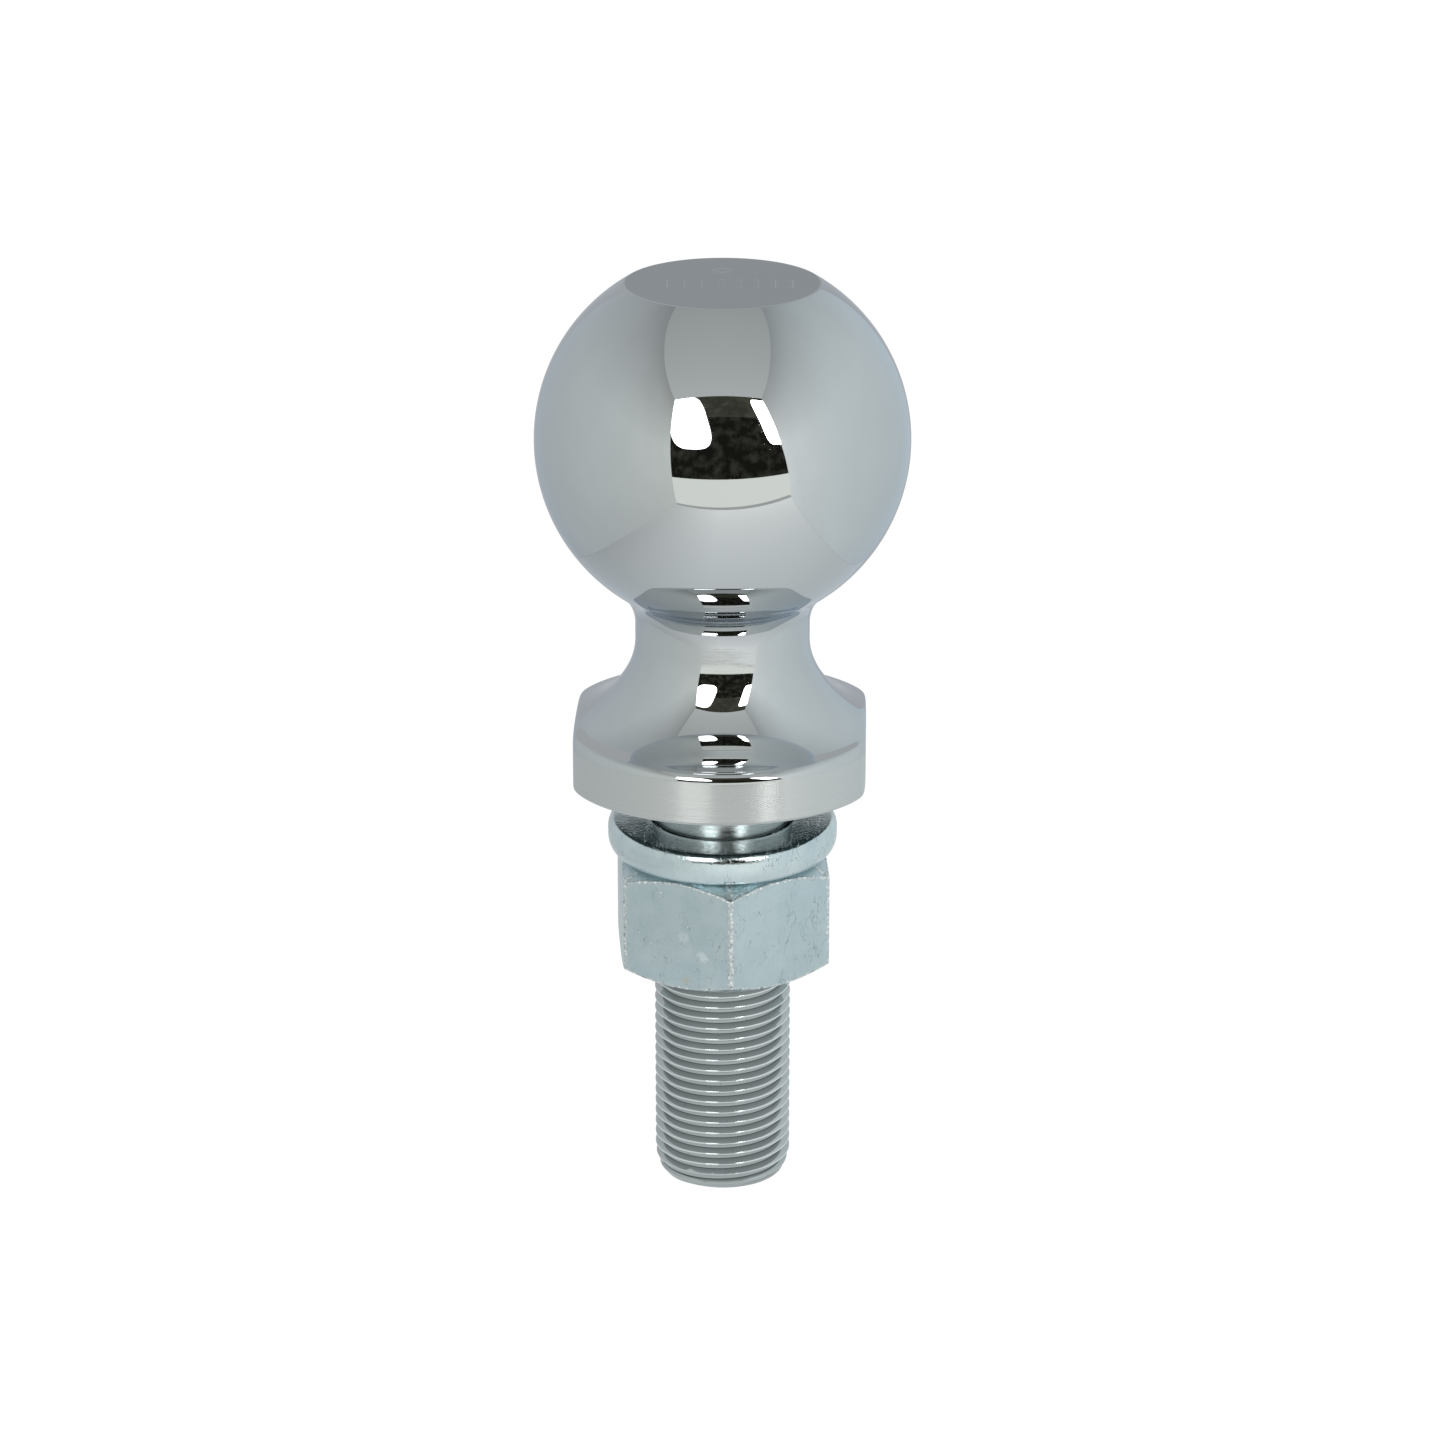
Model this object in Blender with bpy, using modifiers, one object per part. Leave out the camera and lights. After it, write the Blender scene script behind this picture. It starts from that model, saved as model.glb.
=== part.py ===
"""A trailer hitch ball with its lock washer and nut, standing on the end of its shank.

The ball, its neck, its collar and its threaded shank are one forging. A split lock washer and a
hex nut sit on the shank and hold the ball to a drawbar. Metres, +Z up. The origin is the middle
of the shank's end face, and the front of the object faces -Y.
"""

import math

import bmesh
import bpy

MM = 0.001
INCH = 0.0254

# Ball, neck and collar. Heights with no other word are above the shank's end face.
BALL_RADIUS = 1.0 * INCH
SHANK_LENGTH = 2.375 * INCH
BALL_CENTRE_HEIGHT = SHANK_LENGTH + 47.0 * MM
CROWN_HEIGHT = 21.74 * MM  # flat crown above the ball's centre
NECK_RADIUS = 11.91 * MM
UPPER_NECK_FILLET = 6.0 * MM
# The collar's top runs from the neck to the rim on two hollow arcs, the tighter one first.
COLLAR_TOP_DROP = 27.97 * MM  # start of the first arc below the ball's centre
COLLAR_INNER_BEND = 10.05 * MM
COLLAR_INNER_TURN = 23.6  # degrees
COLLAR_OUTER_BEND = 13.13 * MM
COLLAR_RADIUS = 23.1 * MM
COLLAR_RIM_ROUND = 1.4 * MM
COLLAR_SEAT_CHAMFER = 0.5 * MM

# Two wrench flats on the collar, not quite centred, turned a little with the forging die.
FLAT_TO_AXIS_LEFT = 20.3 * MM
FLAT_TO_AXIS_RIGHT = 19.8 * MM
FLATS_TURN = math.radians(-1.7)

# Shank and its thread: 3/4 in, 16 turns to the inch, right-hand.
PITCH = INCH / 16
THREAD_MAJOR_RADIUS = 9.47 * MM
THREAD_DEPTH = 0.90 * MM
THREAD_CREST_FLAT = PITCH / 8
CREST_HEIGHT_AT_X = 1.467 * MM  # middle of the lowest crest on the +X side
FLANK_SLOPE = math.tan(math.radians(30))
PLAIN_SHANK_RADIUS = 9.51 * MM
PLAIN_SHANK_BOTTOM = 52.9 * MM
SHANK_SEAT_FILLET = 0.3 * MM
END_RADIUS = 8.0 * MM
END_TAPER_HEIGHT = 2.9 * MM
END_TAPER_RADIUS = 9.0 * MM  # where the long taper meets the short one
END_TAPER_BREAK = 1.1 * MM
END_ROUND_RADIUS = 8.55 * MM
END_ROUND_HEIGHT = 0.25 * MM

# Split lock washer.
WASHER_BOTTOM = 48.56 * MM
WASHER_TOP = 53.17 * MM
WASHER_HOLE_RADIUS = 9.9 * MM
WASHER_OUTER_RADIUS = 15.85 * MM
WASHER_UPPER_ROUND = (0.9 * MM, 1.5 * MM)  # width and height of its outer edge's rounds
WASHER_LOWER_ROUND = (1.4 * MM, 2.3 * MM)
WASHER_HOLE_ROUND = 0.3 * MM
SPLIT_WIDTH = 1.2 * MM
SPLIT_LEAN = math.radians(-25)
SPLIT_CUTTER_HEIGHT = 15.0 * MM

# Hex nut. Its thread follows the shank's, with a running clearance.
NUT_BOTTOM = 32.2 * MM
NUT_TOP = 48.28 * MM
NUT_ACROSS_FLATS = 28.4 * MM
NUT_CORNER_RADIUS = NUT_ACROSS_FLATS / 2 / math.cos(math.radians(30))
NUT_TURN = math.radians(4)
NUT_FACE_RADIUS = 13.5 * MM
NUT_CHAMFER_SLOPE = math.tan(math.radians(30))
NUT_BORE_RADIUS = 8.82 * MM
NUT_COUNTERSINK_RADIUS = 9.95 * MM
THREAD_CLEARANCE = 0.27 * MM

# Steps round each turned shape. The shank's thread and the nut's share one count, so that
# their facets turn alike.
BALL_STEPS = 48
THREAD_STEPS = 20
WASHER_STEPS = 40
BALL_ARC_STEPS = 16
FILLET_ARC_STEPS = 4
COLLAR_ARC_STEPS = 6
RIM_ARC_STEPS = 3
WASHER_ARC_STEPS = 5
SHARP_ANGLE = math.radians(20)
REACH = 1.0 * MM  # how far a cutter passes the face that it cuts
FLAT_CUTTER_HEIGHT = 30.0 * MM
WELD_DISTANCE = 0.001 * MM


def clear_scene():
    for obj in list(bpy.data.objects):
        bpy.data.objects.remove(obj, do_unlink=True)


def make_collection(name):
    collection = bpy.data.collections.new(name)
    bpy.context.scene.collection.children.link(collection)
    return collection


def make_material(name, colour, roughness):
    material = bpy.data.materials.new(name)
    material.use_nodes = True
    shader = material.node_tree.nodes["Principled BSDF"]
    shader.inputs["Base Color"].default_value = (*colour, 1.0)
    shader.inputs["Metallic"].default_value = 1.0
    shader.inputs["Roughness"].default_value = roughness
    return material


def arc(radius, height, bend, start, end, count, rise=None):
    """Points on an arc about (radius, height), between two angles in degrees.

    Its radius is bend, or on an ellipse bend is its half width and rise its half height.
    """
    rise = bend if rise is None else rise
    points = []
    for i in range(count + 1):
        angle = math.radians(start + (end - start) * i / count)
        points.append((radius + bend * math.cos(angle), height + rise * math.sin(angle)))
    return points


def object_from_outline(name, points, closed, collection):
    """An object holding an outline of (radius, height) points in the XZ plane."""
    mesh = bpy.data.meshes.new(name)
    edges = [(i, i + 1) for i in range(len(points) - 1)]
    if closed:
        edges.append((len(points) - 1, 0))
    mesh.from_pydata([(radius, 0.0, height) for radius, height in points], edges, [])
    obj = bpy.data.objects.new(name, mesh)
    collection.objects.link(obj)
    return obj


def add_screw(obj, steps, rise=0.0, turns=1):
    screw = obj.modifiers.new("turn", "SCREW")
    screw.axis = "Z"
    screw.angle = 2 * math.pi
    screw.steps = steps
    screw.render_steps = steps
    screw.screw_offset = rise
    screw.iterations = turns
    screw.use_merge_vertices = True
    screw.merge_threshold = WELD_DISTANCE
    return screw


def apply_modifiers(obj):
    """Replaces an object's mesh with the one that its modifiers make."""
    depsgraph = bpy.context.evaluated_depsgraph_get()
    mesh = bpy.data.meshes.new_from_object(obj.evaluated_get(depsgraph))
    obj.modifiers.clear()
    obj.data = mesh
    mesh.name = obj.name


def hide_cutter(obj):
    obj.hide_render = True
    obj.display_type = "WIRE"


def turned(name, points, closed, steps, collection):
    """A solid turned about Z. Its outline runs down the outer side, from top to bottom."""
    obj = object_from_outline(name, points, closed, collection)
    add_screw(obj, steps)
    return obj


def thread_outline(crest_radius, root_radius, crest_height):
    """One pitch of a thread's outline on the +X side, from root to root."""
    flank = (crest_radius - root_radius) * FLANK_SLOPE
    top = crest_height + THREAD_CREST_FLAT / 2
    bottom = crest_height - THREAD_CREST_FLAT / 2
    return [
        (root_radius, bottom - flank + PITCH),
        (root_radius, top + flank),
        (crest_radius, top),
        (crest_radius, bottom),
        (root_radius, bottom - flank),
    ]


def threaded_rod(name, crest_radius, root_radius, low, high, collection):
    """A closed right-hand threaded rod that covers the heights from low to high and a bit more."""
    first = math.floor((low - CREST_HEIGHT_AT_X) / PITCH) - 1
    turns = math.ceil((high - low) / PITCH) + 3
    outline = thread_outline(crest_radius, root_radius, CREST_HEIGHT_AT_X + first * PITCH)
    obj = object_from_outline(name, outline, False, collection)
    add_screw(obj, THREAD_STEPS, PITCH, turns)
    apply_modifiers(obj)

    rod = bmesh.new()
    rod.from_mesh(obj.data)
    bmesh.ops.remove_doubles(rod, verts=rod.verts, dist=WELD_DISTANCE)
    rim = [edge for edge in rod.edges if edge.is_boundary]
    middle = (low + high) / 2
    for above in (False, True):
        end = [e for e in rim if (e.verts[0].co.z > middle) == above]
        height = sum(e.verts[0].co.z for e in end) / len(end)
        centre = rod.verts.new((0.0, 0.0, height))
        for edge in end:
            rod.faces.new((edge.verts[0], edge.verts[1], centre))
    bmesh.ops.recalc_face_normals(rod, faces=rod.faces)
    rod.to_mesh(obj.data)
    rod.free()
    hide_cutter(obj)
    return obj


def box_cutter(name, size, location, rotation, collection):
    mesh = bpy.data.meshes.new(name)
    box = bmesh.new()
    bmesh.ops.create_cube(box, size=1.0)
    bmesh.ops.scale(box, vec=size, verts=box.verts)
    box.to_mesh(mesh)
    box.free()
    obj = bpy.data.objects.new(name, mesh)
    obj.location = location
    obj.rotation_euler = rotation
    collection.objects.link(obj)
    hide_cutter(obj)
    return obj


def add_boolean(obj, other, operation):
    boolean = obj.modifiers.new(other.name, "BOOLEAN")
    boolean.operation = operation
    boolean.solver = "EXACT"
    boolean.object = other


def finish(obj, material):
    """Applies the modifiers, shades the round faces smooth and gives the part its material."""
    bpy.context.view_layer.update()
    apply_modifiers(obj)
    obj.data.shade_smooth()
    obj.data.set_sharp_from_angle(angle=SHARP_ANGLE)
    obj.data.materials.clear()
    obj.data.materials.append(material)


def collar_top_outline():
    """The collar's hollow top and rounded rim, as heights above the ball's centre."""
    inner = (NECK_RADIUS + COLLAR_INNER_BEND, -COLLAR_TOP_DROP)
    turn = math.radians(COLLAR_INNER_TURN)
    growth = COLLAR_OUTER_BEND - COLLAR_INNER_BEND
    outer = (inner[0] + growth * math.cos(turn), inner[1] + growth * math.sin(turn))

    # The rim's round touches the outer arc where their centres line up.
    span = COLLAR_OUTER_BEND + COLLAR_RIM_ROUND
    rim_radius = COLLAR_RADIUS - COLLAR_RIM_ROUND
    touch = math.acos((outer[0] - rim_radius) / span)
    rim_height = outer[1] - span * math.sin(touch)
    touch = math.degrees(touch)

    points = arc(*inner, COLLAR_INNER_BEND, 180, 180 + COLLAR_INNER_TURN, FILLET_ARC_STEPS)
    points += arc(
        *outer, COLLAR_OUTER_BEND, 180 + COLLAR_INNER_TURN, 180 + touch, COLLAR_ARC_STEPS
    )[1:]
    points += arc(rim_radius, rim_height, COLLAR_RIM_ROUND, touch, 0, RIM_ARC_STEPS)[1:]
    return points


def ball_outline():
    """Outline of the ball, neck, collar and plain shank, from the crown downwards."""
    crown_angle = math.degrees(math.asin(CROWN_HEIGHT / BALL_RADIUS))
    fillet_radius = NECK_RADIUS + UPPER_NECK_FILLET
    fillet_drop = math.sqrt((BALL_RADIUS + UPPER_NECK_FILLET) ** 2 - fillet_radius**2)
    fillet_angle = math.degrees(math.atan2(fillet_drop, fillet_radius))
    points = [(0.0, CROWN_HEIGHT)]
    points += arc(0.0, 0.0, BALL_RADIUS, crown_angle, -fillet_angle, BALL_ARC_STEPS)
    points += arc(
        fillet_radius, -fillet_drop, UPPER_NECK_FILLET, 180 - fillet_angle, 180, FILLET_ARC_STEPS
    )[1:]
    points += collar_top_outline()

    seat = SHANK_LENGTH - BALL_CENTRE_HEIGHT
    points.append((COLLAR_RADIUS, seat + COLLAR_SEAT_CHAMFER))
    points.append((COLLAR_RADIUS - COLLAR_SEAT_CHAMFER, seat))
    points.append((PLAIN_SHANK_RADIUS + SHANK_SEAT_FILLET, seat))
    points.append((PLAIN_SHANK_RADIUS, seat - SHANK_SEAT_FILLET))
    outline = [(radius, height + BALL_CENTRE_HEIGHT) for radius, height in points]
    outline.append((PLAIN_SHANK_RADIUS, PLAIN_SHANK_BOTTOM))
    outline.append((0.0, PLAIN_SHANK_BOTTOM))
    return outline


def thread_envelope():
    """Outline of the turned shape that ends the thread and rounds its tip."""
    outer = THREAD_MAJOR_RADIUS + REACH
    top = PLAIN_SHANK_BOTTOM + REACH
    return [
        (0.0, top),
        (outer, top),
        (outer, END_TAPER_HEIGHT + REACH / FLANK_SLOPE),
        (THREAD_MAJOR_RADIUS, END_TAPER_HEIGHT),
        (END_TAPER_RADIUS, END_TAPER_BREAK),
        (END_ROUND_RADIUS, END_ROUND_HEIGHT),
        (END_RADIUS, 0.0),
        (0.0, 0.0),
    ]


def build_ball(parts, cutters, material):
    ball = turned("hitch_ball", ball_outline(), False, BALL_STEPS, parts)

    root_radius = THREAD_MAJOR_RADIUS - THREAD_DEPTH
    thread = threaded_rod(
        "shank_thread", THREAD_MAJOR_RADIUS, root_radius, 0.0, PLAIN_SHANK_BOTTOM + REACH, cutters
    )
    envelope = turned("thread_envelope", thread_envelope(), False, THREAD_STEPS, cutters)
    hide_cutter(envelope)
    add_boolean(thread, envelope, "INTERSECT")
    add_boolean(ball, thread, "UNION")

    flat_size = (2 * COLLAR_RADIUS, 3 * COLLAR_RADIUS, FLAT_CUTTER_HEIGHT)
    flats = (("left_flat", -1, FLAT_TO_AXIS_LEFT), ("right_flat", 1, FLAT_TO_AXIS_RIGHT))
    for name, side, reach in flats:
        distance = side * (reach + COLLAR_RADIUS)
        place = (
            distance * math.cos(FLATS_TURN),
            distance * math.sin(FLATS_TURN),
            SHANK_LENGTH,
        )
        flat = box_cutter(name, flat_size, place, (0, 0, FLATS_TURN), cutters)
        add_boolean(ball, flat, "DIFFERENCE")

    finish(ball, material)


def build_washer(parts, cutters, material):
    inner = WASHER_HOLE_RADIUS + WASHER_HOLE_ROUND
    upper_width, upper_height = WASHER_UPPER_ROUND
    lower_width, lower_height = WASHER_LOWER_ROUND
    upper = (WASHER_OUTER_RADIUS - upper_width, WASHER_TOP - upper_height)
    lower = (WASHER_OUTER_RADIUS - lower_width, WASHER_BOTTOM + lower_height)
    points = [(inner, WASHER_TOP)]
    points += arc(*upper, upper_width, 90, 0, WASHER_ARC_STEPS, upper_height)
    points += arc(*lower, lower_width, 0, -90, WASHER_ARC_STEPS, lower_height)
    points.append((inner, WASHER_BOTTOM))
    points.append((WASHER_HOLE_RADIUS, WASHER_BOTTOM + WASHER_HOLE_ROUND))
    points.append((WASHER_HOLE_RADIUS, WASHER_TOP - WASHER_HOLE_ROUND))
    washer = turned("lock_washer", points, True, WASHER_STEPS, parts)

    middle = (WASHER_HOLE_RADIUS + WASHER_OUTER_RADIUS) / 2
    split_length = WASHER_OUTER_RADIUS - WASHER_HOLE_RADIUS + 4 * REACH
    split_size = (SPLIT_WIDTH, split_length, SPLIT_CUTTER_HEIGHT)
    place = (0, middle, (WASHER_BOTTOM + WASHER_TOP) / 2)
    split = box_cutter("washer_split", split_size, place, (0, SPLIT_LEAN, 0), cutters)
    add_boolean(washer, split, "DIFFERENCE")
    finish(washer, material)


def nut_envelope():
    """Outline of the turned shape that chamfers the nut's corners at both ends."""
    outer = NUT_CORNER_RADIUS + REACH
    rise = (outer - NUT_FACE_RADIUS) * NUT_CHAMFER_SLOPE
    return [
        (0.0, NUT_TOP),
        (NUT_FACE_RADIUS, NUT_TOP),
        (outer, NUT_TOP - rise),
        (outer, NUT_BOTTOM + rise),
        (NUT_FACE_RADIUS, NUT_BOTTOM),
        (0.0, NUT_BOTTOM),
    ]


def countersink_outline():
    """Outline of the turned cutter that countersinks both ends of the nut's thread."""
    waist = NUT_BORE_RADIUS - REACH
    depth = (NUT_COUNTERSINK_RADIUS - waist) * FLANK_SLOPE
    return [
        (0.0, NUT_TOP + REACH),
        (NUT_COUNTERSINK_RADIUS, NUT_TOP + REACH),
        (NUT_COUNTERSINK_RADIUS, NUT_TOP),
        (waist, NUT_TOP - depth),
        (waist, NUT_BOTTOM + depth),
        (NUT_COUNTERSINK_RADIUS, NUT_BOTTOM),
        (NUT_COUNTERSINK_RADIUS, NUT_BOTTOM - REACH),
        (0.0, NUT_BOTTOM - REACH),
    ]


def build_nut(parts, cutters, material):
    mesh = bpy.data.meshes.new("hex_nut")
    prism = bmesh.new()
    height = NUT_TOP - NUT_BOTTOM + 2 * REACH
    bmesh.ops.create_cone(
        prism,
        cap_ends=True,
        segments=6,
        radius1=NUT_CORNER_RADIUS,
        radius2=NUT_CORNER_RADIUS,
        depth=height,
    )
    middle = (NUT_TOP + NUT_BOTTOM) / 2
    bmesh.ops.translate(prism, vec=(0, 0, middle), verts=prism.verts)
    prism.to_mesh(mesh)
    prism.free()
    nut = bpy.data.objects.new("hex_nut", mesh)
    nut.rotation_euler = (0, 0, NUT_TURN)
    parts.objects.link(nut)

    envelope = turned("nut_envelope", nut_envelope(), False, BALL_STEPS, cutters)
    countersink = turned(
        "nut_countersink", countersink_outline(), False, THREAD_STEPS, cutters
    )
    tap_radius = THREAD_MAJOR_RADIUS + THREAD_CLEARANCE
    tap = threaded_rod("nut_tap", tap_radius, NUT_BORE_RADIUS, NUT_BOTTOM, NUT_TOP, cutters)
    hide_cutter(envelope)
    hide_cutter(countersink)
    add_boolean(nut, envelope, "INTERSECT")
    add_boolean(nut, tap, "DIFFERENCE")
    add_boolean(nut, countersink, "DIFFERENCE")
    finish(nut, material)


def main():
    clear_scene()
    parts = make_collection("trailer_hitch_ball")
    cutters = make_collection("cutters")
    chrome = make_material("chrome", (0.62, 0.64, 0.65), 0.12)
    washer_zinc = make_material("washer_zinc", (0.60, 0.66, 0.68), 0.28)
    nut_zinc = make_material("nut_zinc", (0.62, 0.68, 0.70), 0.38)
    build_ball(parts, cutters, chrome)
    build_washer(parts, cutters, washer_zinc)
    build_nut(parts, cutters, nut_zinc)


main()
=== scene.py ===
"""The looks of a chromed trailer hitch ball with its lock washer and nut.

Four pieces stand for the three CAD nodes: the ball with its neck and collar, the threaded shank,
the split lock washer and the hex nut. Lengths are in millimetres until a mesh is made. Heights
are above the shank's end face, and the front of the object faces -Y.
"""

import contextlib
import math

import bmesh
import bpy
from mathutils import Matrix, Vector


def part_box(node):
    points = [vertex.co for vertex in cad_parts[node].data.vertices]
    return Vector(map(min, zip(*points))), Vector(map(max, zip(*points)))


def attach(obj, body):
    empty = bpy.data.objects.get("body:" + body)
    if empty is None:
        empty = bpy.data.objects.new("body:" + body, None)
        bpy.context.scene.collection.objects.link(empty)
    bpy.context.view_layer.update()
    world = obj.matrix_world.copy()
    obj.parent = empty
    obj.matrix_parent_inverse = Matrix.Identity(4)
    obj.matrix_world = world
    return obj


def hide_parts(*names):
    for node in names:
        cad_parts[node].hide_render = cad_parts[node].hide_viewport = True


MM = 0.001
INCH = 25.4

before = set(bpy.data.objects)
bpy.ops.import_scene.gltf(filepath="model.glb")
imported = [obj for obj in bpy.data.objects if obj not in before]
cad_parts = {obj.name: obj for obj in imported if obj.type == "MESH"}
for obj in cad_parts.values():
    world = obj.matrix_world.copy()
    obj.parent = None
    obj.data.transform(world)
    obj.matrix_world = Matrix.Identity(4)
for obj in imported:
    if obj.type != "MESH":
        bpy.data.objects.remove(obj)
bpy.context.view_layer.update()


def node_heights(name):
    """The lowest and the highest z of a CAD node, in millimetres."""
    low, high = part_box(name)
    return low.z / MM, high.z / MM


# Ball, neck and collar.
BALL_RADIUS = 1.0 * INCH
SHANK_LENGTH = 2.375 * INCH
BALL_CENTRE = SHANK_LENGTH + 47.0
CROWN_TOP = node_heights("hitch_ball")[1]
CROWN_ROUND = 0.9
CROWN_STEPS = 16
NECK_RADIUS = 11.91
UPPER_FILLET = 6.0
COLLAR_TOP_DROP = 27.97
COLLAR_INNER_BEND = 10.05
COLLAR_INNER_TURN = 23.6
COLLAR_OUTER_BEND = 13.13
COLLAR_RADIUS = 23.1
COLLAR_RIM_ROUND = 1.4
COLLAR_SEAT_CHAMFER = 0.5
FLAT_LEFT = 20.3
FLAT_RIGHT = 19.8
FLATS_TURN = math.radians(-1.7)
FLAT_ROUND = 1.0
FLATS_INSIDE = 15.0  # The flats cut nothing nearer to the axis than this.
SEAT_FILLET = 0.3
NECK_LINES = (BALL_CENTRE - 28.9, BALL_CENTRE - 24.2)
NECK_LINES_FADE = 0.6

# Stand-in for the crown's stamp: a row of bars across it and a ring behind them.
BAR_PITCH = 2.3
BARS_LEFT = -8.2
BARS_RIGHT = 10.2
BARS_Y = -0.9
BARS_HALF_LENGTH = 2.1
RING_Y = 6.1
RING_RADIUS = 1.1
RING_HALF_WIDTH = 0.2

# Shank and thread.
PITCH = INCH / 16
THREAD_MAJOR = 9.47
THREAD_DEPTH = 0.90
THREAD_FLAT = PITCH / 8
THREAD_COLUMNS = 96
THREAD_RUNOUT = 0.5
THREAD_OVERLAP = 0.6  # It ends this far up inside the plain shank.
THREAD_INSET = 0.03
FLANK_SLOPE = math.tan(math.radians(30))
CREST_AT_X = 1.467
PLAIN_RADIUS = 9.51
PLAIN_BOTTOM = 52.9
END_TAPER = ((0.0, 8.0), (0.25, 8.55), (1.1, 9.0), (2.9, THREAD_MAJOR))  # (height, radius)

# Washer and nut. A round is (width, height).
WASHER_BOTTOM, WASHER_TOP = node_heights("lock_washer")
WASHER_HOLE = 9.9
WASHER_HOLE_ROUND = 0.3
WASHER_OUTER = 15.85
WASHER_UPPER_ROUND = (0.9, 1.5)
WASHER_LOWER_ROUND = (1.4, 2.3)
SPLIT_ANGLE = math.radians(90)
SPLIT_WIDTH = 1.2
SPLIT_LEAN = math.radians(25)
NUT_BOTTOM, NUT_TOP = node_heights("hex_nut")
NUT_FLATS = 28.4
NUT_CORNER = NUT_FLATS / 2 / math.cos(math.radians(30))
NUT_TURN = math.radians(4)
NUT_FACE = 13.5
NUT_CHAMFER_SLOPE = math.tan(math.radians(30))
NUT_EDGE_ROUND = 0.22
NUT_BORE = 8.82
NUT_COUNTERSINK = 9.95
THREAD_CLEARANCE = 0.27
CUTTER_MARGIN = 1.0

# Light tent and room.
TENT_HEIGHT = 304.0
TENT_ENTRY = -222.0
SOFTBOX_Y = -900.0
ROOM_Y = -1400.0
ROOM_HALF_WIDTH = 3000.0
ROOM_HEIGHTS = (-900.0, 915.0, 3200.0)

# Camera: it looks down on the object from the front.
CAMERA_BACK = 626.0
CAMERA_ABOVE_BALL = 188.7
CAMERA_PITCH = 20.117
CAMERA_LENS = 120.83


# ---------------------------------------------------------------- node helpers


class Nodes:
    """Short calls for building a material's nodes."""

    def __init__(self, name):
        self.material = bpy.data.materials.new(name)
        self.material.use_nodes = True
        self.tree = self.material.node_tree
        self.tree.nodes.clear()
        self.coords = self.add("ShaderNodeTexCoord").outputs["Object"]

    def add(self, kind, **values):
        node = self.tree.nodes.new(kind)
        for key, value in values.items():
            setattr(node, key, value)
        return node

    def feed(self, socket, value):
        if isinstance(value, bpy.types.NodeSocket):
            self.tree.links.new(value, socket)
        elif value is not None:
            socket.default_value = value

    def feed_colour(self, socket, colour):
        self.feed(socket, (*colour, 1.0) if isinstance(colour, tuple) else colour)

    def math(self, operation, a, b=None):
        node = self.add("ShaderNodeMath", operation=operation)
        for socket, value in zip(node.inputs, (a, b)):
            self.feed(socket, value)
        return node.outputs[0]

    def hypot(self, a, b):
        squares = self.math("ADD", self.math("POWER", a, 2.0), self.math("POWER", b, 2.0))
        return self.math("SQRT", squares)

    def split(self, vector=None):
        node = self.add("ShaderNodeSeparateXYZ")
        self.feed(node.inputs[0], vector or self.coords)
        return node.outputs

    def noise(self, scale, detail=3.0, roughness=0.5, vector=None):
        node = self.add("ShaderNodeTexNoise")
        self.feed(node.inputs["Vector"], vector or self.coords)
        node.inputs["Scale"].default_value = scale
        node.inputs["Detail"].default_value = detail
        node.inputs["Roughness"].default_value = roughness
        return node.outputs["Fac"]

    def level_lines(self, across, upward):
        """Noise drawn out into level lines, from its scales across and up the object."""
        stretched = self.add("ShaderNodeVectorMath", operation="MULTIPLY")
        self.feed(stretched.inputs[0], self.coords)
        stretched.inputs[1].default_value = (across, across, upward)
        return self.noise(1.0, 3.0, 0.6, vector=stretched.outputs[0])

    def cells(self, scale):
        """Distance to the nearest of scattered points."""
        node = self.add("ShaderNodeTexVoronoi")
        self.feed(node.inputs["Vector"], self.coords)
        node.inputs["Scale"].default_value = scale
        return node.outputs["Distance"]

    def span(self, value, low, high, to_low=0.0, to_high=1.0):
        """Maps low..high to to_low..to_high, held at both ends."""
        node = self.add("ShaderNodeMapRange")
        node.clamp = True
        self.feed(node.inputs["Value"], value)
        for name, number in (
            ("From Min", low),
            ("From Max", high),
            ("To Min", to_low),
            ("To Max", to_high),
        ):
            node.inputs[name].default_value = number
        return node.outputs["Result"]

    def mix(self, factor, a, b):
        # Of the Mix node's many sockets, 6 and 7 are the colours in and 2 is the colour out.
        node = self.add("ShaderNodeMix", data_type="RGBA")
        self.feed(node.inputs["Factor"], factor)
        self.feed_colour(node.inputs[6], a)
        self.feed_colour(node.inputs[7], b)
        return node.outputs[2]

    def bump(self, height, distance, strength=1.0, normal=None):
        node = self.add("ShaderNodeBump")
        self.feed(node.inputs["Height"], height)
        node.inputs["Distance"].default_value = distance
        node.inputs["Strength"].default_value = strength
        self.feed(node.inputs["Normal"], normal)
        return node.outputs["Normal"]

    def finish(self, shader):
        """Puts a shader on the surface and returns the material."""
        output = self.add("ShaderNodeOutputMaterial")
        self.feed(output.inputs["Surface"], shader.outputs[0])
        return self.material

    def glow(self, colour, strength):
        light = self.add("ShaderNodeEmission")
        self.feed_colour(light.inputs["Color"], colour)
        self.feed(light.inputs["Strength"], strength)
        return self.finish(light)

    def metal(self, colour, roughness, normal, anisotropic=0.0, edge=(1.0, 1.0, 1.0)):
        """A bare metal. edge tints what it mirrors at a glancing angle."""
        shader = self.add("ShaderNodeBsdfPrincipled")
        self.feed(shader.inputs["Base Color"], colour)
        shader.inputs["Metallic"].default_value = 1.0
        self.feed(shader.inputs["Roughness"], roughness)
        shader.inputs["Anisotropic"].default_value = anisotropic
        shader.inputs["Specular Tint"].default_value = (*edge, 1.0)
        self.feed(shader.inputs["Normal"], normal)
        if anisotropic:
            shader.inputs["Anisotropic Rotation"].default_value = 0.25
            tangent = self.add("ShaderNodeTangent", direction_type="RADIAL", axis="Z")
            self.feed(shader.inputs["Tangent"], tangent.outputs[0])
        return self.finish(shader)


# ---------------------------------------------------------------- materials


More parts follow.
